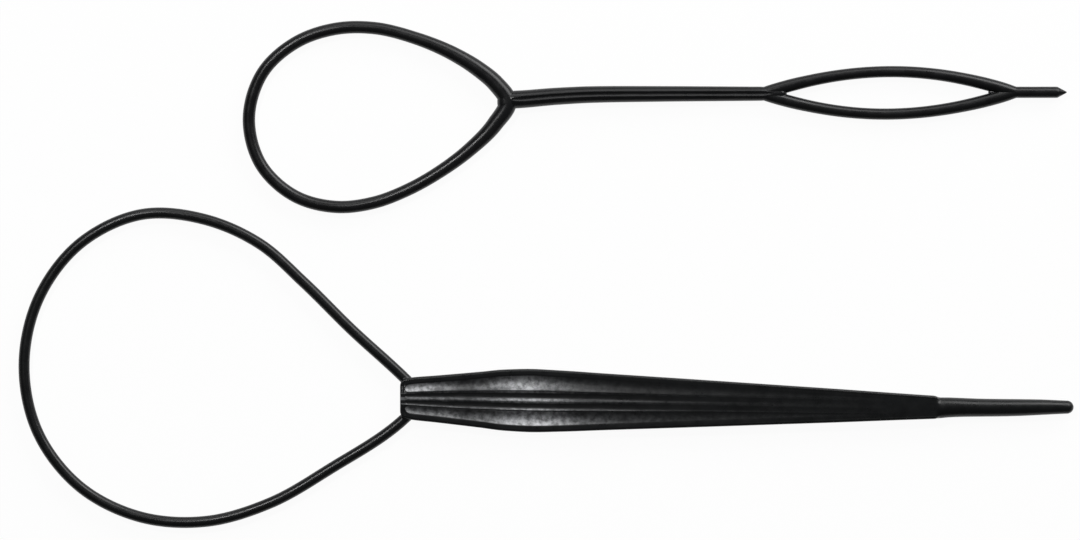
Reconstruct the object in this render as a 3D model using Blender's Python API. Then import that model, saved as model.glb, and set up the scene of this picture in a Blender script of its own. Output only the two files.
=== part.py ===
"""A set of two hair styling loop tools, one large and one small, lying side by side.

Each tool is one plastic moulding. Lengths are in metres. +X runs from the loops to the tips, +Y is towards
the small tool and +Z is up. The set lies on z = 0, with the origin under the middle of its bounding box.
Run with: blender --background --python part.py
"""
import math

import bmesh
import bpy
import numpy as np

# How the two tools lie
SET_WIDTH = 0.1106
TIP_SETBACK = 0.0015

# Large tool: the loop
LARGE_LOOP_LENGTH = 0.0821
LARGE_LOOP_WIDTH = 0.0675
LARGE_STRAND = 0.00225
# Distance from the handle and height above its axis, as shares of the loop's length and width.
# The loop is springy and lies leaning towards +Y.
LARGE_LOOP_SHARES = (
    (0.130, 0.223), (0.256, 0.374), (0.372, 0.498), (0.517, 0.577), (0.687, 0.594), (0.849, 0.502),
    (0.960, 0.326), (1.000, 0.108), (0.963, -0.111), (0.850, -0.287), (0.689, -0.384), (0.514, -0.399),
    (0.346, -0.338), (0.184, -0.226),
)
# The two ends of the strand run into the handle's corners and stop inside it
LARGE_STRAND_SEAT = 0.0009
LARGE_STRAND_ROOT = 0.0028
LARGE_STRAND_INSET = 0.0002

# Large tool: the handle
HANDLE_LENGTH = 0.1177
HANDLE_WIDTH = 0.0138
HANDLE_THICKNESS = 0.0040
HANDLE_DROP = 0.00185
HANDLE_EDGE_RADIUS = 0.0005
# Place along the handle and width there, as shares of its length and greatest width
HANDLE_WIDTH_SHARES = (
    (0.000, 0.50), (0.009, 0.62), (0.022, 0.67), (0.065, 0.74), (0.148, 0.884), (0.200, 0.975),
    (0.240, 1.0), (0.296, 0.97), (0.370, 0.90), (0.556, 0.75), (0.741, 0.580), (0.852, 0.490), (0.926, 0.412),
    (1.000, 0.325),
)

# Large tool: the hollows of the handle, alike on both faces
END_WALL = 0.0011
RIM_WIDTH = 0.00135
SPINE_WIDTH = 0.0044
SPINE_WIDTH_SHARES = (
    (0.0, 0.62), (0.15, 0.93), (0.24, 1.0), (0.37, 0.95), (0.56, 0.83), (0.75, 0.80), (1.0, 0.68),
)
CREST_WIDTH = 0.00015
RIB_WIDTH = 0.00035
FLUTE_DEPTH_SHARE = 0.60
CHANNEL_DEPTH_SHARE = 0.42
CHANNEL_FADE_SHARES = (0.50, 0.93)
LEAST_RADIUS = 0.00006

# Large tool: the round tip
TIP_LENGTH = 0.0291
TIP_ROOT_DIAMETER = 0.00395
TIP_END_DIAMETER = 0.0030
TIP_SOCKET = 0.0120

# Small tool: the loop, which thickens towards the rod
SMALL_LOOP_LENGTH = 0.0567
SMALL_LOOP_WIDTH = 0.0392
SMALL_STRAND = 0.00255
SMALL_LEG = 0.00350
# Distance from the rod, height above it and thickening, as shares of length, width and added diameter
SMALL_LOOP_SHARES = (
    (0.003, -0.011, 1.45), (0.047, 0.081, 1.0), (0.115, 0.164, 0.72), (0.206, 0.245, 0.35),
    (0.366, 0.341, 0.0), (0.511, 0.393, 0.0), (0.659, 0.392, 0.0), (0.814, 0.318, 0.0), (0.946, 0.149, 0.0),
    (1.000, -0.108, 0.0), (0.952, -0.367, 0.0), (0.818, -0.541, 0.0), (0.657, -0.598, 0.0),
    (0.513, -0.571, 0.0), (0.388, -0.502, 0.0), (0.262, -0.400, 0.1), (0.147, -0.277, 0.40),
    (0.052, -0.139, 0.90),
)

# Small tool: the rod
ROD_LENGTH = 0.0561
ROD_ROOT_DIAMETER = 0.00375
ROD_END_DIAMETER = 0.00292
ROD_RISE = 0.0016
# Place along the rod and height of its axis, as shares of the rod's length and of the whole rise to the tip
ROD_AXIS_SHARES = (
    (0.0, -0.08), (0.054, 0.0), (0.131, 0.25), (0.208, 0.45), (0.363, 0.67), (0.556, 0.74), (1.0, 0.78),
    (2.16, 1.0),
)
# Both ends of the rod are drawn in, so that they end inside the loop and inside the fork
ROD_NOSE = 0.0030
ROD_FORK = 0.0048
GROOVE_RADIUS = 0.0006
GROOVE_DEPTH = 0.0003
GROOVE_INSET = 0.0008

# Small tool: the leaf-shaped eye and the point
LEAF_LENGTH = 0.0545
LEAF_WIDTH = 0.0092
LEAF_STRAND = 0.00246
LEAF_END_SHARE = 0.88
SPIKE_LENGTH = 0.0111
SPIKE_DIAMETER = 0.00228
SPIKE_ROOT = 0.0062
SPIKE_ROOT_DIAMETER = 0.0010
POINT_LENGTH = 0.0020
POINT_DIAMETER = 0.0003

# How finely curves are drawn, and how close vertices are merged
LOOP_STEPS = 6
STATION_COUNT = 44
LEAF_COUNT = 28
CORNER_COUNT = 5
TUBE_RESOLUTION = 4
EDGE_RESOLUTION = 2
WELD = 0.00001
FLAT_ANGLE = math.radians(35)

PLASTIC_COLOUR = (0.012, 0.013, 0.014, 1.0)
PLASTIC_ROUGHNESS = 0.28


def through(knots, per_span, closed=False):
    """A smooth line through the knots, made of cubic spans.

    The direction at each knot is that of the parabola through it and its two neighbours.
    """
    knots = np.asarray(knots, dtype=float)
    if closed:
        chain = np.vstack([knots[-1:], knots, knots[:2]])
    else:
        chain = np.vstack([2 * knots[:1] - knots[1:2], knots, 2 * knots[-1:] - knots[-2:-1]])
    chords = np.linalg.norm(np.diff(chain, axis=0), axis=1)[:, None]
    slopes = np.diff(chain, axis=0) / chords
    turns = (slopes[:-1] * chords[1:] + slopes[1:] * chords[:-1]) / (chords[:-1] + chords[1:])
    t = np.linspace(0, 1, per_span, endpoint=False)[:, None]
    spans = []
    for index in range(1, len(chain) - 2):
        start, end, chord = chain[index], chain[index + 1], chords[index]
        spans.append((2 * t**3 - 3 * t**2 + 1) * start + (t**3 - 2 * t**2 + t) * chord * turns[index - 1]
                     + (3 * t**2 - 2 * t**3) * end + (t**3 - t**2) * chord * turns[index])
    return np.vstack(spans if closed else spans + [knots[-1:]])


def read_off(shares, places):
    """The smooth curve through a table of (place, value) shares, read at the given places."""
    line = through(shares, 12)
    return np.interp(places, line[:, 0], line[:, 1])


def flat_to_space(flat):
    """Points of the middle plane as points in space."""
    return np.column_stack([flat, np.zeros(len(flat))])


def collection(name):
    """A new collection in the scene."""
    made = bpy.data.collections.new(name)
    bpy.context.scene.collection.children.link(made)
    return made


def plastic(name):
    """Black glossy moulded plastic."""
    material = bpy.data.materials.new(name)
    material.use_nodes = True
    shader = material.node_tree.nodes["Principled BSDF"]
    shader.inputs["Base Color"].default_value = PLASTIC_COLOUR
    shader.inputs["Roughness"].default_value = PLASTIC_ROUGHNESS
    shader.inputs["Metallic"].default_value = 0.0
    return material


def mesh_from_curve(data, name, home):
    """Turn curve data into a closed mesh object in the home collection."""
    curve = bpy.data.objects.new(name + "_curve", data)
    home.objects.link(curve)
    seen = curve.evaluated_get(bpy.context.evaluated_depsgraph_get())
    mesh = bpy.data.meshes.new_from_object(seen)
    mesh.name = name
    work = bmesh.new()
    work.from_mesh(mesh)
    bmesh.ops.remove_doubles(work, verts=work.verts, dist=WELD)
    bmesh.ops.recalc_face_normals(work, faces=work.faces)
    work.to_mesh(mesh)
    work.free()
    mesh.shade_smooth()
    mesh.set_sharp_from_angle(angle=FLAT_ANGLE)
    solid = bpy.data.objects.new(name, mesh)
    solid.matrix_world = curve.matrix_world
    home.objects.link(solid)
    bpy.data.objects.remove(curve)
    return solid


def bar(name, centre, radii, home, closed=False):
    """A round bar along a line of points, with its own radius at each point."""
    data = bpy.data.curves.new(name, "CURVE")
    data.dimensions = "3D"
    data.bevel_depth = float(np.max(radii))
    data.bevel_resolution = TUBE_RESOLUTION
    data.use_fill_caps = not closed
    spline = data.splines.new("POLY")
    spline.points.add(len(centre) - 1)
    spline.points.foreach_set("co", np.column_stack([centre, np.ones(len(centre))]).ravel())
    spline.points.foreach_set("radius", np.asarray(radii) / np.max(radii))
    spline.use_cyclic_u = closed
    return mesh_from_curve(data, name, home)


def plate(name, outline, thickness, edge_radius, home):
    """A flat outline given a thickness, with its edges rounded."""
    data = bpy.data.curves.new(name, "CURVE")
    data.dimensions = "2D"
    data.fill_mode = "BOTH"
    data.extrude = thickness / 2 - edge_radius
    data.bevel_depth = edge_radius
    data.bevel_resolution = EDGE_RESOLUTION
    data.offset = -edge_radius
    spline = data.splines.new("POLY")
    spline.points.add(len(outline) - 1)
    corners = np.column_stack([flat_to_space(outline), np.ones(len(outline))])
    spline.points.foreach_set("co", corners.ravel())
    spline.use_cyclic_u = True
    return mesh_from_curve(data, name, home)


def combine(base, others, operation, name):
    """Join or cut the base with each solid of a collection, which then moves with it as a hidden guide."""
    for other in others.objects:
        other.parent = base
        other.hide_render = True
        other.display_type = "WIRE"
    step = base.modifiers.new(name, "BOOLEAN")
    step.operation = operation
    step.operand_type = "COLLECTION"
    step.collection = others
    step.solver = "EXACT"


def handle_axis(along):
    """Height of the handle's axis at a distance from its loop end: an even drop to the tip, then level."""
    return -HANDLE_DROP * np.clip(along / HANDLE_LENGTH, 0, 1)


def handle_half_width(along):
    """Half the handle's width at a distance from its loop end."""
    return read_off(HANDLE_WIDTH_SHARES, along / HANDLE_LENGTH) * HANDLE_WIDTH / 2


def spine_half_width(along):
    """Half the width of the handle's raised middle at a distance from its loop end."""
    return read_off(SPINE_WIDTH_SHARES, along / HANDLE_LENGTH) * SPINE_WIDTH / 2


def round_ended(along, start, radius):
    """A share that opens from nothing to one as a half circle of the given radius, from start onwards."""
    inward = np.clip((start + radius - along) / radius, 0, 1)
    return np.sqrt(1 - inward**2)


def large_loop_path():
    """Centre line of the large loop, from inside the handle's one corner round to inside the other."""
    corner = float(handle_half_width(LARGE_STRAND_SEAT)) - LARGE_STRAND_INSET
    slope = LARGE_STRAND_ROOT - LARGE_STRAND_SEAT
    seats = [(LARGE_STRAND_ROOT, corner - slope), (LARGE_STRAND_SEAT, corner)]
    free = [(-x * LARGE_LOOP_LENGTH, y * LARGE_LOOP_WIDTH) for x, y in LARGE_LOOP_SHARES]
    return through(seats + free + [(x, -y) for x, y in reversed(seats)], LOOP_STEPS)


def handle_outline():
    """The handle seen from above: its two long edges, joined across its two ends."""
    corner = END_WALL * np.linspace(0, 2, CORNER_COUNT)
    along = np.unique(np.concatenate([np.linspace(0, HANDLE_LENGTH, STATION_COUNT), corner]))
    half = handle_half_width(along)
    upper = np.column_stack([along, handle_axis(along) + half])
    lower = np.column_stack([along, handle_axis(along) - half])
    return np.vstack([lower, upper[::-1]])


def hollow_cutters(home):
    """Round bars that scoop the flutes and channels out of both faces.

    A scoop of half width g and depth share s is a circle of radius g (1 + s^2) / (2 s), sunk s g into
    the face.
    """
    along = END_WALL + (HANDLE_LENGTH - END_WALL) * np.linspace(0, 1, STATION_COUNT)**2
    spine = spine_half_width(along)
    flute = (handle_half_width(along) - RIM_WIDTH - spine) / 2
    channel = (spine - CREST_WIDTH - RIB_WIDTH / 2) / 2
    first, last = CHANNEL_FADE_SHARES
    fade = np.clip((last - along / HANDLE_LENGTH) / (last - first), 0, 1)
    hollows = {
        "flute": (spine + flute, flute, FLUTE_DEPTH_SHARE),
        "channel": (RIB_WIDTH / 2 + channel, channel * fade, CHANNEL_DEPTH_SHARE),
    }
    for kind, (offset, half, depth_share) in hollows.items():
        half = half * round_ended(along, END_WALL, half[0])
        kept = half > LEAST_RADIUS
        radius = half[kept] * (1 + depth_share**2) / (2 * depth_share)
        rise = HANDLE_THICKNESS / 2 + radius - depth_share * half[kept]
        for side in (1, -1):
            for face in (1, -1):
                across = handle_axis(along[kept]) + side * offset[kept]
                centre = np.column_stack([along[kept], across, face * rise])
                bar(f"{kind}_cutter", centre, radius, home)


def large_tool(home):
    """The large tool, with the loop end of its handle at the local origin and its middle plane at z = 0."""
    tool = plate("large_loop_tool", handle_outline(), HANDLE_THICKNESS, HANDLE_EDGE_RADIUS, home)
    added = collection("large_tool_additions")
    loop = large_loop_path()
    bar("large_loop_strand", flat_to_space(loop), np.full(len(loop), LARGE_STRAND / 2), added)
    along = np.linspace(HANDLE_LENGTH - TIP_SOCKET, HANDLE_LENGTH + TIP_LENGTH, STATION_COUNT // 2)
    end_radius = TIP_END_DIAMETER / 2
    cap = end_radius * (1 - np.sin(np.linspace(0, math.pi / 2, CORNER_COUNT)))
    along = np.append(along[:-1], HANDLE_LENGTH + TIP_LENGTH - cap)
    reach = np.clip((along - HANDLE_LENGTH) / TIP_LENGTH, 0, 1)
    radii = (TIP_ROOT_DIAMETER * (1 - reach) + TIP_END_DIAMETER * reach) / 2
    radii = np.maximum(radii * round_ended(-along, -HANDLE_LENGTH - TIP_LENGTH, end_radius), LEAST_RADIUS)
    bar("large_tip", np.column_stack([along, handle_axis(along), np.zeros(len(along))]), radii, added)
    cut = collection("large_tool_hollows")
    hollow_cutters(cut)
    combine(tool, added, "UNION", "loop and tip")
    combine(tool, cut, "DIFFERENCE", "flutes and channels")
    return tool


def rod_axis(along):
    """Height of the small tool's axis at a distance from its loop end."""
    return read_off(ROD_AXIS_SHARES, along / ROD_LENGTH) * ROD_RISE


def small_loop_path():
    """Centre line of the small loop and its radius along it, as (x, y, radius)."""
    x, y, extra = np.transpose(SMALL_LOOP_SHARES)
    radius = (SMALL_STRAND + extra * (SMALL_LEG - SMALL_STRAND)) / 2
    knots = np.column_stack([-x * SMALL_LOOP_LENGTH, y * SMALL_LOOP_WIDTH, radius])
    return through(knots, LOOP_STEPS, closed=True)


def small_tool(home):
    """The small tool, with the loop's closed end at the local origin and its middle plane at z = 0."""
    loop = small_loop_path()
    tool = bar("small_loop_tool", flat_to_space(loop[:, :2]), loop[:, 2], home, closed=True)
    added = collection("small_tool_additions")
    cut = collection("small_tool_grooves")

    along = (ROD_LENGTH + ROD_FORK) * np.linspace(0, 1, STATION_COUNT)**1.4
    taper = along / ROD_LENGTH
    rod_radius = (ROD_ROOT_DIAMETER * (1 - taper) + ROD_END_DIAMETER * taper) / 2
    nose = round_ended(along, -ROD_NOSE / 2, ROD_NOSE)
    fork = round_ended(-along, -ROD_LENGTH - ROD_FORK, ROD_FORK)
    radii = np.maximum(rod_radius * nose * fork, LEAST_RADIUS)
    bar("rod", np.column_stack([along, rod_axis(along), np.zeros(len(along))]), radii, added)

    kept = (along > GROOVE_INSET) & (along < ROD_LENGTH + ROD_FORK / 2)
    ends = round_ended(along[kept], GROOVE_INSET, ROD_NOSE)
    for face in (1, -1):
        rise = face * (rod_radius[kept] - GROOVE_DEPTH + GROOVE_RADIUS)
        centre = np.column_stack([along[kept], rod_axis(along[kept]), rise])
        bar("groove_cutter", centre, np.maximum(GROOVE_RADIUS * ends, LEAST_RADIUS), cut)

    leaf = np.linspace(0, 1, LEAF_COUNT)
    bow = 4 * leaf * (1 - leaf) * LEAF_WIDTH / 2
    leaf_radius = LEAF_STRAND / 2 * (LEAF_END_SHARE + (1 - LEAF_END_SHARE) * np.sin(math.pi * leaf)**0.5)
    along = ROD_LENGTH + leaf * LEAF_LENGTH
    for side in (1, -1):
        centre = np.column_stack([along, rod_axis(along) + side * bow, np.zeros(LEAF_COUNT)])
        bar("leaf_strand", centre, leaf_radius, added)

    end = ROD_LENGTH + LEAF_LENGTH + SPIKE_LENGTH
    start = end - SPIKE_LENGTH
    along = np.array([start - SPIKE_ROOT, start - SPIKE_ROOT / 2, start, end - POINT_LENGTH, end])
    middle = (SPIKE_ROOT_DIAMETER + SPIKE_DIAMETER) / 2
    radii = np.array([SPIKE_ROOT_DIAMETER, middle, SPIKE_DIAMETER, SPIKE_DIAMETER, POINT_DIAMETER]) / 2
    bar("spike", np.column_stack([along, rod_axis(along), np.zeros(len(along))]), radii, added)

    combine(tool, added, "UNION", "rod, leaf and spike")
    combine(tool, cut, "DIFFERENCE", "grooves")
    return tool


def main():
    """Build both tools and lay them side by side."""
    for thing in list(bpy.data.objects):
        bpy.data.objects.remove(thing)
    home = collection("hair_styling_loop_tools")

    small = small_tool(home)
    large = large_tool(home)
    large_length = LARGE_STRAND / 2 + LARGE_LOOP_LENGTH + HANDLE_LENGTH + TIP_LENGTH
    large_low = large_loop_path()[:, 1].min() - LARGE_STRAND / 2
    large_reach = TIP_LENGTH + HANDLE_LENGTH
    large.location = (large_length / 2 - large_reach, -SET_WIDTH / 2 - large_low, HANDLE_THICKNESS / 2)
    large.data.materials.append(plastic("large_tool_plastic"))

    loop = small_loop_path()
    small_high = (loop[:, 1] + loop[:, 2]).max()
    small_reach = ROD_LENGTH + LEAF_LENGTH + SPIKE_LENGTH
    small_middle = max(ROD_ROOT_DIAMETER / 2, loop[:, 2].max())
    small.location = (large_length / 2 - TIP_SETBACK - small_reach, SET_WIDTH / 2 - small_high, small_middle)
    small.data.materials.append(plastic("small_tool_plastic"))


main()
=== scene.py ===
# %% [markdown]
# # Two hair styling loop tools
# A hair styling loop tool is a springy plastic loop on a slim handle. Hair goes through the loop, and the
# handle draws it under or over itself. The set has a large tool with a fluted handle and a small tool
# with a leaf-shaped eye. Each one is a single moulding of black plastic.
#
# The first cell loads the fixed model. Every piece below is laid exactly where that model has it, in
# metres.

# %% Load the fixed model
import math

import bpy
import numpy as np
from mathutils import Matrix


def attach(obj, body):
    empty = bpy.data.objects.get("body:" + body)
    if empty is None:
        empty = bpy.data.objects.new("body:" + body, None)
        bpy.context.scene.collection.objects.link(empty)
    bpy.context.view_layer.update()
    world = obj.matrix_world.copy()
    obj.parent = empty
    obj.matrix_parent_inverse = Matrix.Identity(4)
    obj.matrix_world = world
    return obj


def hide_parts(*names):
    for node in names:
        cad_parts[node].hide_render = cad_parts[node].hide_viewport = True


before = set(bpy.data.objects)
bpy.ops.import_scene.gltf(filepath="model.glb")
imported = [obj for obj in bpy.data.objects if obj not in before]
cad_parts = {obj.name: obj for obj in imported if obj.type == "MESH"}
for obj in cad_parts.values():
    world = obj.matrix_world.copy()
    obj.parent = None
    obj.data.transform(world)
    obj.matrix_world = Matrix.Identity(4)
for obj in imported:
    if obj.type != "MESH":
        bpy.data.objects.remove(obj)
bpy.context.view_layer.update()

# %% [markdown]
# ## A smooth line through a few points
# A loop is bent through a few given points, and the edge of the handle is a table of widths. Both need a
# line that passes through every point without a corner. Blender's own curves could do it, but a line in
# numpy can also give the widths and the thicknesses, so all the shapes below share one kind of line.

# %% The line and the table reader
def line_through(knots, per_span, closed=False):
    """Cubic spans through the knots, as rows of points.

    Between two knots: point = h0 start + h1 chord turn0 + h2 end + h3 chord turn1, where h0 to h3 are the
    cubic Hermite weights and the turn at a knot is the slope of the parabola through it and its neighbours.
    """
    knots = np.asarray(knots, dtype=float)
    if closed:
        chain = np.vstack([knots[-1:], knots, knots[:2]])
    else:
        chain = np.vstack([2 * knots[:1] - knots[1:2], knots, 2 * knots[-1:] - knots[-2:-1]])
    step = np.diff(chain, axis=0)
    chord = np.linalg.norm(step, axis=1)[:, None]
    slope = step / chord
    turn = (slope[:-1] * chord[1:] + slope[1:] * chord[:-1]) / (chord[:-1] + chord[1:])
    start, end = chain[1:-2, None], chain[2:-1, None]
    start_turn, end_turn = (chord[1:-1] * turn[:-1])[:, None], (chord[1:-1] * turn[1:])[:, None]
    t = np.linspace(0, 1, per_span, endpoint=False)[None, :, None]
    spans = ((2 * t**3 - 3 * t**2 + 1) * start + (t**3 - 2 * t**2 + t) * start_turn
             + (3 * t**2 - 2 * t**3) * end + (t**3 - t**2) * end_turn)
    line = spans.reshape(-1, knots.shape[1])
    return line if closed else np.vstack([line, knots[-1:]])


TABLE_STEPS = 12
# Places at which a finished shape is measured
SAMPLES = 200


def read_off(shares, places):
    """The smooth curve through a table of (place, value), read at the given places."""
    line = line_through(shares, TABLE_STEPS)
    return np.interp(places, line[:, 0], line[:, 1])


def round_ended(along, start, radius):
    """A share that opens from nothing to one as a quarter circle.

    share = sqrt(1 - ((start + radius - along) / radius)^2)
    """
    return np.sqrt(1 - np.clip((start + radius - along) / radius, 0, 1)**2)


def smooth_step(share):
    """From 0 to 1 without a corner: 3 t^2 - 2 t^3."""
    t = np.clip(share, 0, 1)
    return t * t * (3 - 2 * t)


print("a quarter circle, half open:", round(float(round_ended(0.5, 0, 1)), 3))

# %% [markdown]
# ## A skin over a grid
# Every surface here is a grid of points: one way runs along the piece, the other way runs round its
# section. The helper joins the points with four-sided faces that look outwards, and closes the two ends
# with a fan of triangles. It works on whole arrays of numbers, which is much quicker than adding faces
# one by one.

# %% From a grid to a mesh
def skin(name, grid, closed=False):
    """A mesh object over grid[along, round].

    The section runs from the + side over the top to the - side, and back underneath.
    """
    rows, ring = grid.shape[:2]
    number = np.arange(rows * ring).reshape(rows, ring)
    beside = np.roll(number, -1, axis=1)
    if closed:
        here, there = number, np.roll(number, -1, axis=0)
        here_beside, there_beside = beside, np.roll(beside, -1, axis=0)
    else:
        here, there, here_beside, there_beside = number[:-1], number[1:], beside[:-1], beside[1:]
    faces = np.stack([here, here_beside, there_beside, there], axis=-1).reshape(-1, 4).tolist()
    points = grid.reshape(-1, 3)
    if not closed:
        first, last = rows * ring, rows * ring + 1
        points = np.vstack([points, grid[0].mean(axis=0), grid[-1].mean(axis=0)])
        faces += np.stack([np.full(ring, first), beside[0], number[0]], axis=-1).tolist()
        faces += np.stack([np.full(ring, last), number[-1], beside[-1]], axis=-1).tolist()
    mesh = bpy.data.meshes.new(name)
    mesh.from_pydata(points.tolist(), [], faces)
    mesh.shade_smooth()
    made = bpy.data.objects.new(name, mesh)
    bpy.context.scene.collection.objects.link(made)
    return made


def tube_grid(centre, across, up, closed=False):
    """The grid of a section carried along a level line.

    point = centre + across * left + up * above, where left is the line's direction turned a quarter turn.
    """
    if closed:
        run = np.roll(centre, -1, axis=0) - np.roll(centre, 1, axis=0)
    else:
        run = np.gradient(centre, axis=0)
    run = run / np.linalg.norm(run, axis=1)[:, None]
    left = np.column_stack([-run[:, 1], run[:, 0]])
    flat = centre[:, None, :] + across[..., None] * left[:, None, :]
    return np.dstack([flat, up])


print("ready: a skin over any grid, and a grid along any level line")

# %% [markdown]
# ## The handle of the large tool
# The handle is a flat bar that swells near the loop and narrows to the tip. Both faces are hollowed to
# save plastic and to give grip: a scooped flute runs along each edge, and between the flutes the raised
# middle holds two narrow channels with a thin rib between them. A flat rim is left along both edges.
#
# The hollows could be cut with Booleans, but their edges come out ragged in thin places. Here the face is
# a height over the length and the width, so the lips of the hollows get a small round of their own.
#
# The widths along the handle are shares of its widest place, read from the photograph's outline.

# %% The plan of the handle
LARGE_PLACE = np.array([-0.0317875, -0.0270028, 0.002])
HANDLE_LENGTH = 0.1177
HANDLE_WIDTH = 0.0138
HANDLE_HALF_THICKNESS = 0.00198
HANDLE_DROP = 0.00195
HANDLE_EDGE_RADIUS = 0.0005
HANDLE_WIDTH_SHARES = (
    (0.000, 0.50), (0.009, 0.62), (0.022, 0.67), (0.065, 0.74), (0.148, 0.884), (0.200, 0.975),
    (0.240, 1.0), (0.296, 0.97), (0.370, 0.905), (0.556, 0.748), (0.704, 0.620), (0.815, 0.524),
    (0.926, 0.421), (1.000, 0.356),
)
END_WALL = 0.0011
RIM_WIDTH = 0.00135
SPINE_WIDTH = 0.0044
SPINE_WIDTH_SHARES = (
    (0.0, 0.62), (0.15, 0.93), (0.24, 1.0), (0.37, 0.95), (0.56, 0.83), (0.75, 0.80), (1.0, 0.68),
)
CREST_WIDTH = 0.00015
RIB_WIDTH = 0.00035
# The skin stays this far inside the fixed model's sides
SKIN_INSET = 0.00001


def handle_axis(along):
    """Where the handle's middle line lies across the tool: an even slant towards -Y."""
    return -HANDLE_DROP * np.clip(along / HANDLE_LENGTH, 0, 1)


def handle_half_width(along):
    """Half the handle's width at a distance from its loop end."""
    return read_off(HANDLE_WIDTH_SHARES, along / HANDLE_LENGTH) * HANDLE_WIDTH / 2 - SKIN_INSET


def spine_half_width(along):
    """Half the width of the raised middle at a distance from the loop end."""
    return read_off(SPINE_WIDTH_SHARES, along / HANDLE_LENGTH) * SPINE_WIDTH / 2


sample_along = np.linspace(0, HANDLE_LENGTH, SAMPLES)
print("handle, widest, in mm:", round(2000 * handle_half_width(sample_along).max(), 2))

# %% [markdown]
# The depth of the hollows is worked out at every point of the face at once. A flute's section is part of
# a circle, so its walls are steepest at the lips. It leans outwards, because the rims lie lower than the
# raised middle. A channel has a flat floor and turns up quickly at its sides. All of them run out towards
# the tip.

# %% The depth of the hollows
FLUTE_DEPTH_SHARES = (
    (0.0, 0.46), (0.12, 0.42), (0.26, 0.43), (0.31, 0.35), (0.37, 0.24), (0.46, 0.16), (0.60, 0.10),
    (1.0, 0.06),
)
FLUTE_LEAN_SHARES = ((0.0, 0.18), (0.30, 0.17), (0.42, 0.11), (0.60, 0.06), (1.0, 0.03))
CHANNEL_DEPTH_SHARES = ((0.0, 0.46), (0.30, 0.46), (0.40, 0.30), (0.50, 0.12), (0.60, 0.05), (1.0, 0.03))
CHANNEL_FLATNESS = 4
CHANNEL_FADE_SHARES = (0.50, 0.93)
LIP_ROUND = 0.00006
# Places further from a channel's middle than this many half widths count as lying there
OUTSIDE = 1.5
# The least half width of a hollow, so that nothing is divided by zero
LEAST = 1e-6


def flute_half_width(along):
    """Half the width of a flute, between the rim and the raised middle."""
    return np.maximum((handle_half_width(along) - RIM_WIDTH - spine_half_width(along)) / 2, LEAST)


def rim_drop(along):
    """How far the rims lie below the raised middle: the lean times the width of a flute."""
    return read_off(FLUTE_LEAN_SHARES, along / HANDLE_LENGTH) * 2 * flute_half_width(along)


def hollow_depth(along, side):
    """Depth of the face below the raised middle, at a distance along and a distance from the middle line.

    flute = sqrt(R^2 - s^2) - (R - D), with s the distance from its own middle line, g its half width,
    D = share g and R = g (1 + share^2) / (2 share). channel = D (1 - (s / g)^4).
    The deeper one counts, and (d + sqrt(d^2 + lip^2)) / 2 rounds the lip. The lean adds an even fall from
    the raised middle to the rim.
    """
    spine = spine_half_width(along)
    flute = flute_half_width(along)
    flute_open = flute * round_ended(along, END_WALL, flute)
    flute_middle = spine + flute
    share = read_off(FLUTE_DEPTH_SHARES, along / HANDLE_LENGTH)
    radius = np.maximum(flute_open, LEAST) * (1 + share**2) / (2 * share)
    offset = np.abs(side) - flute_middle
    scoop = np.sqrt(np.maximum(radius**2 - offset**2, 0)) - (radius - share * flute_open)
    first, last = CHANNEL_FADE_SHARES
    fade = np.clip((last - along / HANDLE_LENGTH) / (last - first), 0, 1)
    channel = (spine - CREST_WIDTH - RIB_WIDTH / 2) / 2
    channel_open = np.maximum(channel * fade * round_ended(along, END_WALL, channel), LEAST)
    reach = np.clip((np.abs(side) - RIB_WIDTH / 2 - channel) / channel_open, -OUTSIDE, OUTSIDE)
    channel_share = read_off(CHANNEL_DEPTH_SHARES, along / HANDLE_LENGTH)
    trough = channel_share * channel_open * (1 - reach**CHANNEL_FLATNESS)
    depth = np.maximum(scoop, trough)
    # The end wall stays whole: the lip's round starts behind its middle
    behind_wall = np.clip((along - END_WALL / 2) / (END_WALL / 4), 0, 1)
    rounded = (depth + np.sqrt(depth**2 + LIP_ROUND**2)) / 2 * behind_wall
    return rounded + rim_drop(along) * np.clip((np.abs(side) - spine) / (2 * flute), 0, 1)


sample_side = np.linspace(0, HANDLE_WIDTH / 2, SAMPLES)
print("hollows, deepest, in mm:", round(1000 * hollow_depth(sample_along[:, None], sample_side).max(), 2))

# %% [markdown]
# The narrow end of the bar melts into a round pin. The real moulding has no seam there, so the pin isn't
# a piece of its own: the bar's section slides into a circle, point by point, and the same skin runs on to
# the rounded end. The pin tapers slowly and wanders a little, as the real one does.

# %% The round pin
TIP_LENGTH = 0.0291
TIP_RADIUS = 0.00198
TIP_RADIUS_SHARES = (
    (0.0, 1.0), (0.15, 1.0), (0.30, 0.99), (0.45, 0.969), (0.60, 0.93), (0.75, 0.859), (0.90, 0.757),
    (1.0, 0.69),
)
TIP_AXIS_SHARES = (
    (0.0, -0.06), (0.075, -0.01), (0.15, -0.01), (0.30, -0.038), (0.60, -0.026), (0.75, 0.01), (1.0, 0.02),
)
TIP_END_RADIUS = 0.00137


def tip_radius(along):
    """The pin's radius: a slow taper that ends in a half ball."""
    share = np.clip((along - HANDLE_LENGTH) / TIP_LENGTH, 0, 1)
    ball = round_ended(-along, -HANDLE_LENGTH - TIP_LENGTH, TIP_END_RADIUS)
    return TIP_RADIUS * read_off(TIP_RADIUS_SHARES, share) * ball


def tip_axis(along):
    """How far the pin's middle lies off the handle's middle line."""
    share = np.clip((along - HANDLE_LENGTH) / TIP_LENGTH, 0, 1)
    return TIP_RADIUS * read_off(TIP_AXIS_SHARES, share)


print("pin, from handle to point, in mm:", round(1000 * TIP_LENGTH, 1))

# %% [markdown]
# The section of the bar is cut into zones from the middle line out to the edge: the rib, a channel, the
# crest beside it, a flute and the rim. Each zone gets its own number of points, and the points lie
# closest together where the face bends most, at the lips and round the edge.

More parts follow.
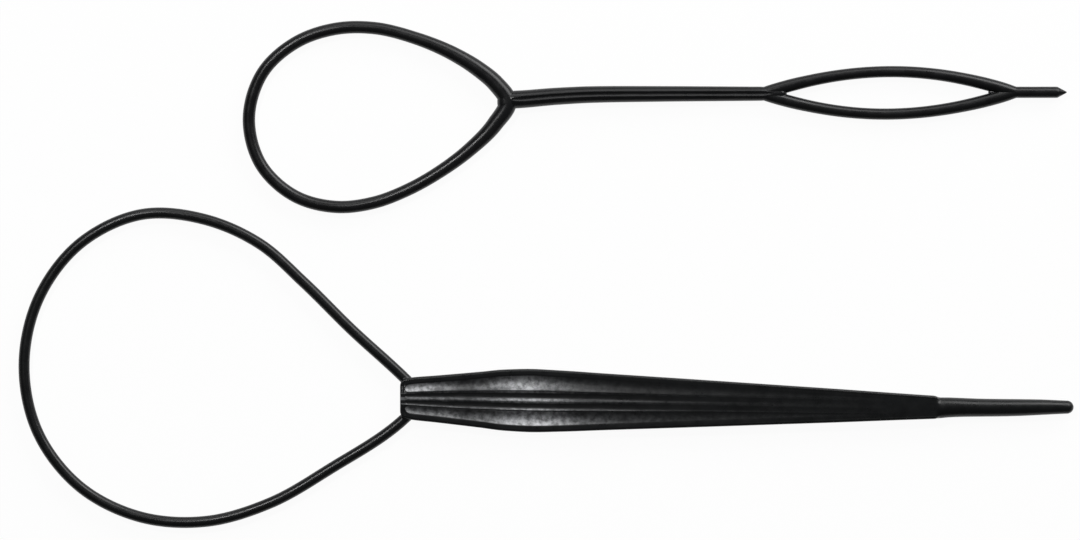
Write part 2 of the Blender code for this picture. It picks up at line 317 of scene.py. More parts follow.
# %% The section of the bar
# The points in each zone, from the middle line outwards
FACE_ZONES = ((0, 3), (1, 14), (2, 3), (3, 20), (4, 5))
CORNER_POINTS = 5
WALL_SHARES = np.array([9, 7, 5, 3, 1]) / 11
# Where the handle is narrow, the rim and the crest keep at least these shares
RIM_PLACE_SHARE = 0.70
CREST_PLACE_SHARE = 0.85


def spread(count):
    """Shares from 0 up to 1, closer together at both ends: (1 - cos(pi k / count)) / 2."""
    return (1 - np.cos(math.pi * np.arange(count) / count)) / 2


def bar_section(along):
    """The hollowed bar as across[along, round] and up[along, round].

    On the face, up = half thickness - depth. Round the edge, the section is a quarter circle down to the
    wall. One quarter is worked out, and the other three mirror it.
    """
    half = handle_half_width(along)
    spine = spine_half_width(along)
    inner = half - HANDLE_EDGE_RADIUS
    rim = np.maximum(half - RIM_WIDTH, RIM_PLACE_SHARE * inner)
    crest = np.minimum(spine, CREST_PLACE_SHARE * rim)
    bounds = np.stack([0 * half, np.full_like(half, RIB_WIDTH / 2), crest - CREST_WIDTH, crest, rim, inner])
    side = np.vstack([bounds[zone] + (bounds[zone + 1] - bounds[zone]) * spread(count)[:, None]
                      for zone, count in FACE_ZONES]).T
    height = HANDLE_HALF_THICKNESS - hollow_depth(along[:, None], side)
    turn = np.linspace(math.pi / 2, 0, CORNER_POINTS)
    corner = HANDLE_HALF_THICKNESS - rim_drop(along)[:, None] - HANDLE_EDGE_RADIUS * (1 - np.sin(turn))
    wall = corner[:, -1:] * WALL_SHARES
    side = np.hstack([side, inner[:, None] + HANDLE_EDGE_RADIUS * np.cos(turn), half[:, None] + 0 * wall])
    height = np.hstack([height, corner, wall])
    # The loop end is drawn in by the edge's own radius
    tuck = (HANDLE_EDGE_RADIUS * (1 - round_ended(along, 0, HANDLE_EDGE_RADIUS)))[:, None]
    side = side * (1 - tuck / half[:, None])
    height = height * (1 - tuck / HANDLE_HALF_THICKNESS)
    return (np.hstack([side[:, ::-1], -side[:, 1:], -side[:, :0:-1], side]),
            np.hstack([height[:, ::-1], height[:, 1:], -height[:, :0:-1], -height]))


print("points round the bar:", bar_section(np.array([HANDLE_LENGTH / 2]))[0].shape[1])

# %% One skin from the handle to the point
TIP_WIDENING = 0.15
TIP_WIDENING_LENGTH = 0.011
MELT_START = HANDLE_LENGTH - 0.0013
MELT_LENGTH = 0.0014
ROOT_LENGTH = 0.004
# A rounded end is turned this share of a quarter circle, and a fan of triangles closes it
CLOSING_SHARE = 0.97
END_ROWS, ROOT_ROWS, BAR_ROWS, MELT_ROWS, PIN_ROWS, BALL_ROWS = 6, 34, 184, 26, 30, 12


def even(start, end, count):
    """Places from the start up to the end, which is left to the next stretch."""
    return np.linspace(start, end, count, endpoint=False)


def handle_grid():
    """The handle's surface as grid[along, round].

    point = (1 - b) bar + b circle, with b the smooth step of how far the melt has come. The circle's points
    lie at the same angles as the bar's. It is a little wider than high at its root.
    """
    melted = MELT_START + MELT_LENGTH
    cap = HANDLE_LENGTH + TIP_LENGTH - TIP_END_RADIUS
    along = np.concatenate([
        HANDLE_EDGE_RADIUS * spread(END_ROWS),
        even(HANDLE_EDGE_RADIUS, ROOT_LENGTH, ROOT_ROWS),
        even(ROOT_LENGTH, MELT_START, BAR_ROWS),
        even(MELT_START, melted, MELT_ROWS),
        even(melted, cap, PIN_ROWS),
        cap + TIP_END_RADIUS * np.sin(np.linspace(0, CLOSING_SHARE * math.pi / 2, BALL_ROWS)),
    ])
    across, up = bar_section(np.minimum(along, HANDLE_LENGTH))
    share = smooth_step((along - MELT_START) / MELT_LENGTH)[:, None]
    first = np.searchsorted(along, MELT_START)
    turn = np.arctan2(up[first], across[first])
    radius = tip_radius(along)[:, None]
    wide = 1 + TIP_WIDENING * np.clip(1 - (along - HANDLE_LENGTH) / TIP_WIDENING_LENGTH, 0, 1)[:, None]**2
    across = (1 - share) * across + share * (wide * radius * np.cos(turn) + tip_axis(along)[:, None])
    up = (1 - share) * up + share * radius * np.sin(turn)
    print("handle grid:", across.shape)
    middle = handle_axis(along)[:, None] + across
    return np.dstack([along[:, None] + 0 * across, middle, up]) + LARGE_PLACE


large_handle = skin("large_loop_tool_moulding", handle_grid())

# %% [markdown]
# ## The large loop
# The loop is one round strand that leaves one corner of the handle and comes back into the other. It is
# springy, and lies leaning to one side. A curve with a round bevel could make it, but it couldn't carry
# the mark of the mould: a moulding shows a hair line all round, where the two halves of the mould met.
# Here a section with a very small bump at its two sides is carried along the line.

# %% The round section
SECTION_POINTS = 40
SECTION_BUNCHING = 0.2
SEAM_HEIGHT = 0.000018
SEAM_TURN = 0.07

turns = 2 * math.pi * np.arange(SECTION_POINTS) / SECTION_POINTS
# Points closer together at the two sides, where the hair line is
turns = turns - SECTION_BUNCHING * np.sin(2 * turns)


def round_section(radii):
    """Across and up for a circle of each radius, with the mould's hair line at its two sides.

    r = radius + seam exp(-(sin(turn) / width)^2)
    """
    r = radii[:, None] + SEAM_HEIGHT * np.exp(-(np.sin(turns) / SEAM_TURN)**2)
    return r * np.cos(turns), r * np.sin(turns)


print("points round a strand:", len(turns))

# %% The large loop
LARGE_LOOP_LENGTH = 0.0820
LARGE_LOOP_WIDTH = 0.0675
LARGE_STRAND_RADIUS = 0.00120
LARGE_LOOP_SHARES = (
    (0.130, 0.223), (0.256, 0.374), (0.372, 0.498), (0.517, 0.577), (0.687, 0.594), (0.849, 0.502),
    (0.960, 0.326), (1.000, 0.108), (0.963, -0.111), (0.850, -0.287), (0.689, -0.3836), (0.514, -0.3970),
    (0.346, -0.338), (0.184, -0.226),
)
LARGE_STRAND_SEAT = 0.00125
LARGE_STRAND_ROOT = 0.00315
LARGE_STRAND_INSET = 0.0002
LARGE_LOOP_STEPS = 24


def large_loop_line():
    """The middle line of the strand, from inside one corner of the handle round to inside the other."""
    corner = float(handle_half_width(LARGE_STRAND_SEAT)) - LARGE_STRAND_INSET
    slope = LARGE_STRAND_ROOT - LARGE_STRAND_SEAT
    seats = [(LARGE_STRAND_ROOT, corner - slope), (LARGE_STRAND_SEAT, corner)]
    free = [(-x * LARGE_LOOP_LENGTH, y * LARGE_LOOP_WIDTH) for x, y in LARGE_LOOP_SHARES]
    return line_through(seats + free + [(x, -y) for x, y in reversed(seats)], LARGE_LOOP_STEPS)


loop_line = large_loop_line()
across, up = round_section(np.full(len(loop_line), LARGE_STRAND_RADIUS))
large_strand = skin("large_strand", tube_grid(loop_line, across, up) + LARGE_PLACE)
print("strand length in mm:", round(1000 * np.linalg.norm(np.diff(loop_line, axis=0), axis=1).sum(), 1))

# %% [markdown]
# ## The small tool
# The small loop thickens into two legs that run together into a round rod with a shallow groove along it.
# The rod forks into two strands that bow apart and meet again, and a short pointed spike closes the tool.
# Each part is again a section carried along a line, with its own thickness at every place.
#
# Each row of the loop's table gives the distance back from the rod, the distance across and how far the
# strand has thickened into a leg.

# %% The small loop
SMALL_PLACE = np.array([-0.0081875, 0.0383569, 0.00196375])
SMALL_LOOP_LENGTH = 0.0567
SMALL_LOOP_WIDTH = 0.0392
SMALL_STRAND = 0.00270
SMALL_LEG = 0.00365
SMALL_LOOP_SHARES = (
    (0.003, -0.014, 1.28), (0.047, 0.080, 1.1), (0.115, 0.163, 0.85), (0.206, 0.244, 0.50),
    (0.366, 0.340, 0.05), (0.511, 0.391, 0.0), (0.659, 0.389, 0.0), (0.812, 0.316, 0.0),
    (0.943, 0.148, 0.0), (0.998, -0.108, 0.0), (0.951, -0.369, 0.0), (0.818, -0.545, 0.0),
    (0.657, -0.603, 0.0), (0.513, -0.577, 0.0), (0.388, -0.508, 0.0), (0.262, -0.405, 0.1),
    (0.147, -0.281, 0.40), (0.052, -0.141, 0.90),
)
SMALL_LOOP_STEPS = 14

share_x, share_y, thickening = np.transpose(SMALL_LOOP_SHARES)
knots = np.column_stack([-share_x * SMALL_LOOP_LENGTH, share_y * SMALL_LOOP_WIDTH,
                         (SMALL_STRAND + thickening * (SMALL_LEG - SMALL_STRAND)) / 2])
ring_line = line_through(knots, SMALL_LOOP_STEPS, closed=True)
across, up = round_section(ring_line[:, 2])
ring_grid = tube_grid(ring_line[:, :2], across, up, closed=True) + SMALL_PLACE
small_ring = skin("small_loop_tool_moulding", ring_grid, closed=True)
print("small loop, stations:", len(ring_line))

# %% [markdown]
# Where the two legs meet, the plastic is a little fuller than the legs alone. A short rounded peg, laid
# across the meeting place, fills the notch between them.

# %% The hub where its legs meet
HUB_PLACE = np.array([-0.0005, -0.0007])
HUB_HALF_LENGTH = 0.0016
HUB_RADIUS = 0.00193
HUB_BLUNTNESS = 4
HUB_ROWS = 25

along = HUB_HALF_LENGTH * np.sin(np.linspace(-CLOSING_SHARE, CLOSING_SHARE, HUB_ROWS) * math.pi / 2)
hub_radii = HUB_RADIUS * np.sqrt(1 - (along / HUB_HALF_LENGTH)**HUB_BLUNTNESS)
across, up = round_section(hub_radii)
hub_line = HUB_PLACE + np.column_stack([0 * along, along])
small_hub = skin("small_hub", tube_grid(hub_line, across, up) + SMALL_PLACE)
print("hub, across the tool, in mm:", round(2000 * HUB_HALF_LENGTH, 1))

# %% [markdown]
# The rod's middle line swings a little towards +Y behind the loop and then runs nearly straight. Its groove
# opens just behind the loop and fades out where the rod forks. Past the fork, the rod's rounded end is
# the web between the two strands of the eye.

# %% The grooved rod
ROD_LENGTH = 0.0551
ROD_ROOT_DIAMETER = 0.00394
ROD_END_DIAMETER = 0.00309
ROD_RISE = 0.00137
ROD_AXIS_SHARES = (
    (0.0, -0.22), (0.06, -0.08), (0.11, 0.09), (0.20, 0.38), (0.37, 0.67), (0.60, 0.74), (1.0, 0.77),
    (1.35, 0.85), (1.71, 0.97), (2.21, 1.0),
)
ROD_NOSE = 0.0030
ROD_FORK = 0.0056
ROD_FORK_ROUND = 0.0012
ROD_FORK_THINNING_SHARE = 0.20
ROD_ROWS, FORK_ROWS = 145, 10
ROD_ROW_POWER = 1.4
ROD_POINTS = 56
ROD_BUNCHING = 0.3
GROOVE_RADIUS = 0.0006
GROOVE_DEPTH = 0.0003
GROOVE_INSET = 0.0008
GROOVE_FADE_LENGTH = 0.002
GROOVE_LIP_ROUND = 0.00004
LEAST_OPENING = 0.01


def rod_axis(along):
    """Where the rod's middle line lies across the tool, at a distance from its loop end."""
    return read_off(ROD_AXIS_SHARES, along / ROD_LENGTH) * ROD_RISE


def grooved_section(radii, opening):
    """Across and up for a circle with a round groove along its top and its underside.

    The groove is a circle of radius G, the opening times the groove's radius, sunk into the rod from above:
    floor = r - depth + G - sqrt(G^2 - across^2), and the lower of the floor and the circle counts.
    """
    bunched = 2 * math.pi * np.arange(ROD_POINTS) / ROD_POINTS
    bunched = bunched + ROD_BUNCHING * np.sin(2 * bunched)
    across, up = radii[:, None] * np.cos(bunched), radii[:, None] * np.sin(bunched)
    groove = GROOVE_RADIUS * np.maximum(opening, LEAST_OPENING)[:, None]
    depth = GROOVE_DEPTH * opening[:, None]
    inside = np.sqrt(np.maximum(groove**2 - across**2, 0))
    sunk = np.where(np.abs(across) < groove, np.abs(up) - (radii[:, None] - depth + groove - inside), 0)
    sunk = (sunk + np.sqrt(sunk**2 + GROOVE_LIP_ROUND**2)) / 2 * (opening > 0)[:, None]
    return across, up - np.sign(up) * sunk


rod_end = ROD_LENGTH + ROD_FORK
fork_turn = np.linspace(0, CLOSING_SHARE * math.pi / 2, FORK_ROWS)
along = np.concatenate([
    (rod_end - ROD_FORK_ROUND) * even(0, 1, ROD_ROWS)**ROD_ROW_POWER,
    rod_end - ROD_FORK_ROUND * (1 - np.sin(fork_turn)),
])
taper = along / ROD_LENGTH
rod_radii = (ROD_ROOT_DIAMETER * (1 - taper) + ROD_END_DIAMETER * taper) / 2
rod_radii = rod_radii * (1 - ROD_FORK_THINNING_SHARE * np.clip((along - ROD_LENGTH) / ROD_FORK, 0, 1))
rod_radii = rod_radii * round_ended(along, -ROD_NOSE / 2, ROD_NOSE)
rod_radii = rod_radii * round_ended(-along, -rod_end, ROD_FORK_ROUND)
opening = np.where(along > GROOVE_INSET, round_ended(along, GROOVE_INSET, ROD_NOSE), 0)
opening = opening * np.clip((ROD_LENGTH + ROD_FORK / 2 - along) / GROOVE_FADE_LENGTH, 0, 1)
across, up = grooved_section(rod_radii, opening)
rod_line = np.column_stack([along, rod_axis(along)])
small_rod = skin("small_rod", tube_grid(rod_line, across, up) + SMALL_PLACE)
print("rod, at its thickest, in mm:", round(2000 * rod_radii.max(), 2))

# %% [markdown]
# Each strand of the eye bows out from the rod's line as a low arch, 4 t (1 - t) raised to a power near 1,
# and swells a little near its two ends.

# %% The leaf-shaped eye
LEAF_LENGTH = 0.0555
LEAF_WIDTH = 0.00925
LEAF_POWER = 1.06
LEAF_STRAND = 0.00257
LEAF_STRAND_SHARES = (
    (0.0, 0.92), (0.05, 1.05), (0.10, 1.06), (0.20, 1.0), (0.80, 1.02), (0.88, 1.07), (0.93, 1.07),
    (1.0, 0.93),
)
LEAF_ROWS = 110

leaf = np.linspace(0, 1, LEAF_ROWS)
bow = (4 * leaf * (1 - leaf))**LEAF_POWER * LEAF_WIDTH / 2
leaf_radii = LEAF_STRAND / 2 * read_off(LEAF_STRAND_SHARES, leaf)
along = ROD_LENGTH + leaf * LEAF_LENGTH
across, up = round_section(leaf_radii)
leaf_strands = [
    skin("leaf_strand_" + side_name,
         tube_grid(np.column_stack([along, rod_axis(along) + side * bow]), across, up) + SMALL_PLACE)
    for side_name, side in (("upper", 1), ("lower", -1))]
print("eye, inside, in mm:", round(1000 * (LEAF_WIDTH - LEAF_STRAND), 2))

# %% [markdown]
# The spike starts between the ends of the two strands, so that their meeting place is filled, and ends in
# a short cone, like the head of an arrow. Its widths are straight between the rows of the table, because
# the cone's shoulder is a crisp one.

# %% The spike
SPIKE_LENGTH = 0.0111
SPIKE_DIAMETER = 0.00242
SPIKE_ROOT = 0.0060
SPIKE_SHARES = (
    (0.0, 0.21), (0.012, 0.40), (0.070, 0.58), (0.351, 1.0), (0.860, 1.0), (0.883, 0.97), (0.994, 0.13),
    (1.0, 0.05),
)
SPIKE_ROWS = 50

spike_share, spike_width = np.transpose(SPIKE_SHARES)
share = np.unique(np.concatenate([np.linspace(0, 1, SPIKE_ROWS), spike_share]))
along = ROD_LENGTH + LEAF_LENGTH - SPIKE_ROOT + share * (SPIKE_LENGTH + SPIKE_ROOT)
across, up = round_section(SPIKE_DIAMETER / 2 * np.interp(share, spike_share, spike_width))
spike_line = np.column_stack([along, rod_axis(along)])
small_spike = skin("small_spike", tube_grid(spike_line, across, up) + SMALL_PLACE)
print("spike, free length in mm:", round(1000 * SPIKE_LENGTH, 1))

# %% [markdown]
# ## One moulding each
# A moulding has no joints: where a strand meets the handle, the plastic simply runs on. The parts could
# be joined as they are, but then they would still run through each other inside. A Boolean union takes
# away what lies inside and leaves one closed skin.

# %% Unite the parts
def unite(base, parts):
    """Make one closed skin of the base and the parts, and apply it."""
    for part in parts:
        step = base.modifiers.new("unite_" + part.name, "BOOLEAN")
        step.operation = "UNION"
        step.solver = "EXACT"
        step.object = part
    seen = base.evaluated_get(bpy.context.evaluated_depsgraph_get())
    mesh = bpy.data.meshes.new_from_object(seen)
    base.modifiers.clear()
    base.data = mesh
    for part in parts:
        bpy.data.objects.remove(part)
    print(base.name, "has", len(mesh.vertices), "points and", len(mesh.polygons), "faces")


unite(large_handle, [large_strand])
unite(small_ring, [small_hub, small_rod, *leaf_strands, small_spike])

# %% [markdown]
# ## Where the plastic is satin, and where a sheen is painted
# The rims and the strands are polished, but the flutes have a satin bed that the fingers can hold. The
# same share also mixes a light grey into the plastic's colour. This is a painted sheen that stands in for
# the lamps' highlight in the flutes and on the channels' walls. Both are strongest near the loop and where
# the handle is widest, and they fade out towards the tip. It could be painted by hand. Here it is worked
# out for each point from the same measures as the flutes, so that it ends exactly at their lips, and it is
# stored with the mesh as a number that the material can read.

# %% A number for each point of a mesh
def store_share(piece, name, share):
    """Keep one number per point with the mesh, for the material."""
    kept = piece.data.attributes.new(name, "FLOAT", "POINT")
    kept.data.foreach_set("value", share.astype(np.float32))
    print(name, "reaches", round(float(share.max()), 2), "on", piece.name)


def points_of(piece):
    """All points of a mesh as rows."""
    flat = np.empty(3 * len(piece.data.vertices), np.float32)
    piece.data.vertices.foreach_get("co", flat)
    return flat.reshape(-1, 3).astype(float)


print("points of the large tool:", len(points_of(large_handle)))

# %% [markdown]
# The two tables say how strong the satin and the painted sheen are along the flute towards +Y and along
# the one towards -Y. They rise where the lamps' highlight falls in the flutes. Their values are joined by
# straight lines, because they rise and fall steeply, and a smooth curve through steep values swings past
# them.

# %% The satin share and the painted sheen
UPPER_SATIN_AND_SHEEN_SHARES = (
    (0.0, 1.0), (0.025, 1.0), (0.055, 0.68), (0.085, 0.32), (0.12, 0.07), (0.165, 0.24), (0.204, 0.56),
    (0.24, 0.70), (0.275, 0.26), (0.333, 0.07), (0.407, 0.03), (0.52, 0.01), (1.0, 0.0),
)
LOWER_SATIN_AND_SHEEN_SHARES = (
    (0.0, 0.40), (0.055, 0.30), (0.083, 0.42), (0.12, 0.16), (0.165, 0.38), (0.204, 0.76), (0.24, 1.0),
    (0.278, 0.76), (0.333, 0.17), (0.407, 0.07), (0.52, 0.03), (1.0, 0.0),
)
SATIN_EDGE = 0.0002
SATIN_END_SHARE = 0.9
# The satin and its painted sheen keep this share on the flute's wall towards +Y, which faces away from
# the lamps, and are full on the one towards -Y, which faces them
SHADED_WALL_SHARE = 0.36
LIT_WALL_START_SHARE = 0.7
LIT_WALL_LENGTH_SHARE = 1.1
CHANNEL_FLOOR_SHARE = 0.5
CHANNEL_SATIN_AND_SHEEN_SHARE = 0.75


def share_of_satin_and_sheen(points):
    """share = table(along) * smooth step of how far the point is inside a flute or up a channel's wall.

    In both flutes, the wall towards -Y, which faces the lamps, has the most, so the grey it paints there
    is a painted highlight. A channel's wall starts where its floor turns up, and the top of the rib between
    the channels counts as wall too.
    """
    along = points[:, 0] - LARGE_PLACE[0]
    across = points[:, 1] - LARGE_PLACE[1] - handle_axis(along)
    side = np.abs(across)
    place = along / HANDLE_LENGTH
    upper = np.interp(place, *np.transpose(UPPER_SATIN_AND_SHEEN_SHARES))
    lower = np.interp(place, *np.transpose(LOWER_SATIN_AND_SHEEN_SHARES))
    spine = spine_half_width(along)
    half = flute_half_width(along)
    middle = spine + half
    flute = half * round_ended(along, END_WALL, half)
    step = smooth_step((flute - np.abs(side - middle)) / SATIN_EDGE)
    off_middle = (np.sign(across) * middle - across) / half
    # A painted highlight: the satin's grey is fullest on the flute's wall that faces the lamps
    lit_wall = smooth_step((off_middle + LIT_WALL_START_SHARE) / LIT_WALL_LENGTH_SHARE)
    lit_wall = SHADED_WALL_SHARE + (1 - SHADED_WALL_SHARE) * lit_wall
    scooped = np.where(across > 0, upper, lower) * step * lit_wall
    channel = (spine - CREST_WIDTH - RIB_WIDTH / 2) / 2
    above_floor = np.abs(side - RIB_WIDTH / 2 - channel) / channel - CHANNEL_FLOOR_SHARE
    wall = smooth_step(above_floor / (1 - CHANNEL_FLOOR_SHARE)) * (side < spine - CREST_WIDTH)
    # The channels' walls and the rib's top get the painted sheen too
    share = np.maximum(scooped, CHANNEL_SATIN_AND_SHEEN_SHARE * lower * wall)
    return np.clip(share, 0, 1) * (along > 0) * (along < SATIN_END_SHARE * HANDLE_LENGTH)


store_share(large_handle, "satin_and_sheen", share_of_satin_and_sheen(points_of(large_handle)))
store_share(small_ring, "satin_and_sheen", np.zeros(len(small_ring.data.vertices)))

# %% [markdown]
# ## Black moulded plastic
# The plastic is dense black with a soft gloss. Its shine isn't even: the polished plastic has soft
# highlights, and a slight orange peel breaks their edges. In the satin the surface is frosted and
# rougher, and its colour is mixed with a mottled grey. This is a painted sheen where the lamps' highlight
# falls.
# One plain colour and one gloss would look like a toy's, so noise over the object's own coordinates
# varies the tint, the gloss and the ripple, and the stored share says where the satin and the painted
# sheen lie.

# %% The values of the plastic
PLASTIC_IOR = 1.52
PLASTIC_SPECULAR_LEVEL = 0.27
SATIN_COAT_ROUGHNESS = 0.44
# A painted sheen: the light grey mixed into the black where the stored share lies
PAINTED_SHEEN_GREY = (0.530, 0.540, 0.556)
SATIN_EXTRA = 0.18
POLISH_RANGE = (0.25, 0.38)
MOTTLE_RANGE = (0.25, 1.0)
TINT_SHARES = (0.75, 1.3)
TINT_STOPS = (0.3, 0.7)
PEEL_HEIGHT_SHARE = 0.5
RIPPLE_STRENGTH = 0.5
RIPPLE_DEPTH = 0.00003
# For each noise: its scale, its detail, its roughness
TINT_NOISE = (160, 5, 0.5)
POLISH_NOISE = (420, 6, 0.6)
MOTTLE_NOISE = (900, 5, 0.62)
PEEL_NOISE = (1400, 4, 0.5)
GRIT_NOISE = (2600, 3, 0.6)
# The part of a noise's values that is used
POLISH_SPAN = (0.3, 0.7)
MOTTLE_SPAN = (0.38, 0.62)
FULL_SPAN = (0, 1)

print("finest ripple, in mm:", round(1000 / GRIT_NOISE[0], 2))

# %% The plastic
def moulded_plastic(name, tint, seed):
    """Black plastic whose colour, gloss and fine ripple vary over the object's own coordinates.

    Where the stored share lies, a painted grey sheen is mixed into its colour.
    """
    material = bpy.data.materials.new(name)
    material.use_nodes = True
    nodes, links = material.node_tree.nodes, material.node_tree.links
    shader = nodes["Principled BSDF"]
    shader.inputs["IOR"].default_value = PLASTIC_IOR
    shader.inputs["Specular IOR Level"].default_value = PLASTIC_SPECULAR_LEVEL
    shader.inputs["Coat Roughness"].default_value = SATIN_COAT_ROUGHNESS
    place = nodes.new("ShaderNodeTexCoord")
    shift = nodes.new("ShaderNodeMapping")
    shift.inputs["Location"].default_value = seed
    links.new(place.outputs["Object"], shift.inputs["Vector"])

    def noise(scale, detail, roughness):
        """Noise over the shifted coordinates."""
        made = nodes.new("ShaderNodeTexNoise")
        made.inputs["Scale"].default_value = scale
        made.inputs["Detail"].default_value = detail
        made.inputs["Roughness"].default_value = roughness
        links.new(shift.outputs["Vector"], made.inputs["Vector"])
        return made.outputs["Fac"]

    def ranged(value, span, wanted):
        """The span of the value, laid over the wanted range."""
        made = nodes.new("ShaderNodeMapRange")
        for socket, number in zip(("From Min", "From Max", "To Min", "To Max"), (*span, *wanted)):
            made.inputs[socket].default_value = number
        links.new(value, made.inputs["Value"])
        return made.outputs["Result"]

    def joined(operation, first, second):
        """Two values joined by a plain operation."""
        made = nodes.new("ShaderNodeMath")
        made.operation = operation
        links.new(first, made.inputs[0])
        links.new(second, made.inputs[1])
        return made.outputs["Value"]

    satin_and_sheen = nodes.new("ShaderNodeAttribute")
    satin_and_sheen.attribute_name = "satin_and_sheen"
    mottle = ranged(noise(*MOTTLE_NOISE), MOTTLE_SPAN, MOTTLE_RANGE)
    # The mottled share frosts the gloss, roughens the ripple and paints the grey sheen
    frost_and_sheen = joined("MULTIPLY", satin_and_sheen.outputs["Fac"], mottle)
    links.new(satin_and_sheen.outputs["Fac"], shader.inputs["Coat Weight"])

    black = nodes.new("ShaderNodeValToRGB")
    for stop, position, share in zip(black.color_ramp.elements, TINT_STOPS, TINT_SHARES):
        stop.position = position
        stop.color = (*[share * c for c in tint], 1)
    links.new(noise(*TINT_NOISE), black.inputs["Fac"])
    # Where the share lies, the black is mixed with the grey of the painted sheen
    colour = nodes.new("ShaderNodeMix")
    colour.data_type = "RGBA"
    colour.inputs["B"].default_value = (*PAINTED_SHEEN_GREY, 1)
    links.new(frost_and_sheen, colour.inputs["Factor"])
    links.new(black.outputs["Color"], colour.inputs["A"])
    links.new(colour.outputs["Result"], shader.inputs["Base Color"])

    polish = ranged(noise(*POLISH_NOISE), POLISH_SPAN, POLISH_RANGE)
    frost = ranged(frost_and_sheen, FULL_SPAN, (0, SATIN_EXTRA))
    links.new(joined("ADD", polish, frost), shader.inputs["Roughness"])

    peel = ranged(noise(*PEEL_NOISE), FULL_SPAN, (0, PEEL_HEIGHT_SHARE))
    grit = joined("MULTIPLY", noise(*GRIT_NOISE), frost_and_sheen)
    ripple = nodes.new("ShaderNodeBump")
    ripple.inputs["Strength"].default_value = RIPPLE_STRENGTH
    ripple.inputs["Distance"].default_value = RIPPLE_DEPTH
    links.new(joined("ADD", peel, grit), ripple.inputs["Height"])
    links.new(ripple.outputs["Normal"], shader.inputs["Normal"])
    return material

# %% [markdown]
# The two tools are separate mouldings, so each has a black of its own and its own place in the noise.
# Each mesh takes the place of its piece of the fixed model and moves with that piece's body.

# %% Dress the tools
LARGE_BLACK, LARGE_SHIFT = (0.0042, 0.0046, 0.0050), (0.0, 0.0, 0.0)
SMALL_BLACK, SMALL_SHIFT = (0.0043, 0.0045, 0.0050), (0.4, 0.1, 0.2)
DRESSED = (
    (large_handle, LARGE_BLACK, LARGE_SHIFT, "large_loop_tool", "large_tool", "large_tool_plastic"),
    (small_ring, SMALL_BLACK, SMALL_SHIFT, "small_loop_tool", "small_tool", "small_tool_plastic"),
)

for piece, tint, seed, node, body, slot in DRESSED:
    piece.data.materials.clear()
    piece.data.materials.append(moulded_plastic(slot + "_finish", tint, seed))
    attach(piece, body)
    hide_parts(node)
    print(piece.name, "stands for", node, "on", body)

# %% [markdown]
# ## Floor, light and camera
# The tools lie on white. The floor is a plain pale sheet that shines white to the camera and in
# reflections. It could be lit until it is white, but the same light would wash out the black plastic. A
# small part of its own shading is kept, so that the soft shadow under the tools still shows.

# %% The floor
FLOOR_SIZE = 6.0
FLOOR_GREY = 0.86
SHADOW_SHARE = 0.05

corner = FLOOR_SIZE / 2
corners = [(-corner, -corner, 0), (corner, -corner, 0), (corner, corner, 0), (-corner, corner, 0)]
floor_mesh = bpy.data.meshes.new("floor")
floor_mesh.from_pydata(corners, [], [(0, 1, 2, 3)])
floor = bpy.data.objects.new("floor", floor_mesh)
bpy.context.scene.collection.objects.link(floor)
white = bpy.data.materials.new("white_floor")
white.use_nodes = True
nodes, links = white.node_tree.nodes, white.node_tree.links
nodes.clear()
out = nodes.new("ShaderNodeOutputMaterial")
plain = nodes.new("ShaderNodeBsdfDiffuse")
plain.inputs["Color"].default_value = (FLOOR_GREY, FLOOR_GREY, FLOOR_GREY, 1)
glow = nodes.new("ShaderNodeEmission")
glow.inputs["Strength"].default_value = 1.0
mix = nodes.new("ShaderNodeMixShader")
ray = nodes.new("ShaderNodeLightPath")
share = nodes.new("ShaderNodeMath")
share.operation = "MULTIPLY"
share.inputs[1].default_value = 1 - SHADOW_SHARE
seen = ray.outputs["Is Camera Ray"]
for kind in ("Is Glossy Ray", "Is Transmission Ray"):
    either = nodes.new("ShaderNodeMath")
    either.operation = "MAXIMUM"
    links.new(seen, either.inputs[0])
    links.new(ray.outputs[kind], either.inputs[1])
    seen = either.outputs["Value"]
links.new(seen, share.inputs[0])
links.new(share.outputs["Value"], mix.inputs["Fac"])
links.new(plain.outputs["BSDF"], mix.inputs[1])
links.new(glow.outputs["Emission"], mix.inputs[2])
links.new(mix.outputs["Shader"], out.inputs["Surface"])
floor_mesh.materials.append(white)
print("floor, share of its own shading:", SHADOW_SHARE)

# %% [markdown]
# Three soft lamps light the tools. The key lamp stands low towards +X and +Y, and makes the long sheen on
# the right-hand legs of the loops and in the flutes, where a painted grey sheen in the plastic's colour
# adds to it. The back lamp stands low towards +Y, and fills the flutes. A small high lamp towards -X and
# +Y draws a narrow line of light along the strands. Their light and the world's add up to about 1 on a
# level surface, so that a colour looks about as it is written.

# %% The light
LAMP_DISTANCE = 0.85
# For each lamp: azimuth and elevation in degrees, sides in metres, power in watts
SOFTBOXES = (
    ("softbox_key", 50, 28, (0.60, 0.50), 5.9),
    ("softbox_back", 87, 28, (0.80, 0.40), 2.4),
    ("softbox_high", 127, 58, (0.08, 0.08), 3.1),
)


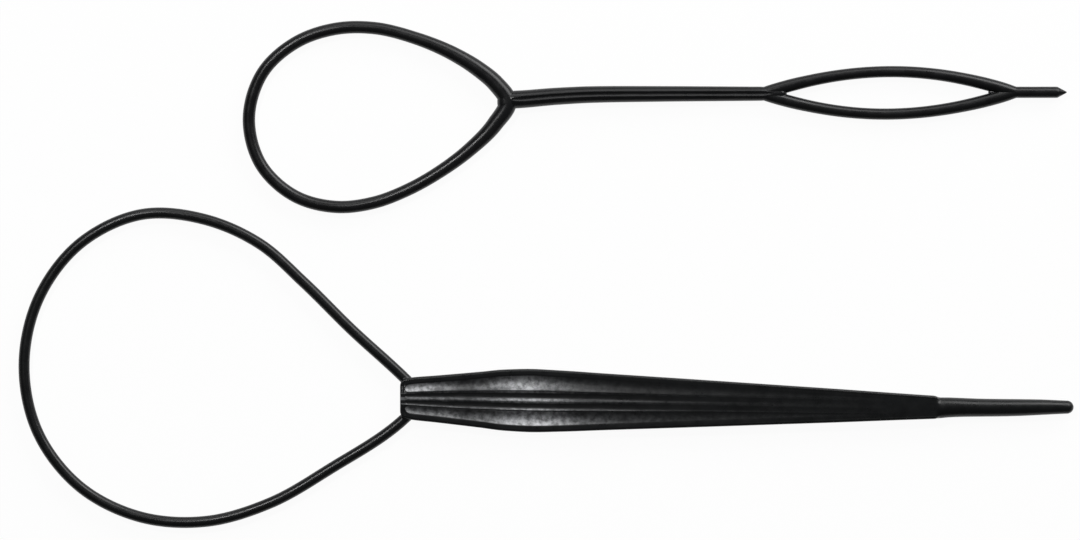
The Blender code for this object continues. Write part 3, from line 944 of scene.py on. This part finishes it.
def softbox(name, place, size, power):
    """A rectangle of soft light at a place, turned to face the middle of the floor."""
    lamp = bpy.data.lights.new(name, "AREA")
    lamp.shape = "RECTANGLE"
    lamp.size, lamp.size_y = size
    lamp.energy = power
    made = bpy.data.objects.new(name, lamp)
    bpy.context.scene.collection.objects.link(made)
    aim = -np.array(place)
    flat = math.hypot(aim[0], aim[1])
    made.location = place
    made.rotation_euler = (math.atan2(flat, -aim[2]), 0, math.atan2(aim[1], aim[0]) - math.pi / 2)
    return made


def around(azimuth, elevation, distance):
    """A place round the origin: azimuth from +X towards +Y and elevation above the floor, in degrees."""
    a, e = math.radians(azimuth), math.radians(elevation)
    out_flat = distance * math.cos(e)
    return (out_flat * math.cos(a), out_flat * math.sin(a), distance * math.sin(e))


for lamp_name, azimuth, elevation, size, power in SOFTBOXES:
    softbox(lamp_name, around(azimuth, elevation, LAMP_DISTANCE), size, power)
print("lamps, in watts:", round(sum(lamp[-1] for lamp in SOFTBOXES), 1))

# %% The world
WORLD_LEVEL = 0.10

world = bpy.data.worlds.new("studio")
bpy.context.scene.world = world
world.use_nodes = True
nodes, links = world.node_tree.nodes, world.node_tree.links
nodes.clear()
out = nodes.new("ShaderNodeOutputWorld")
dim = nodes.new("ShaderNodeBackground")
dim.inputs["Color"].default_value = (1, 1, 1, 1)
dim.inputs["Strength"].default_value = WORLD_LEVEL
links.new(dim.outputs["Background"], out.inputs["Surface"])
print("world level:", WORLD_LEVEL)

# %% [markdown]
# The photograph was taken from straight above, with no perspective to be seen. The camera hangs over the
# tools with a long lens, at the height where the photograph's width fills the frame at half the tools'
# thickness.

# %% The camera
VIEW_WIDTH = 0.23544
VIEW_MIDDLE = (-0.00131, 0.00098)
HALF_THICKNESS = 0.002
LENS, SENSOR = 200, 36
NEAREST, FARTHEST = 0.05, 20

camera_data = bpy.data.cameras.new("camera")
camera_data.lens, camera_data.sensor_width = LENS, SENSOR
camera = bpy.data.objects.new("camera", camera_data)
bpy.context.scene.collection.objects.link(camera)
camera.location = (*VIEW_MIDDLE, VIEW_WIDTH * LENS / SENSOR + HALF_THICKNESS)
camera_data.clip_start, camera_data.clip_end = NEAREST, FARTHEST
bpy.context.scene.camera = camera
bpy.context.scene.view_settings.view_transform = "Standard"
print("camera height in m:", round(camera.location.z, 3))
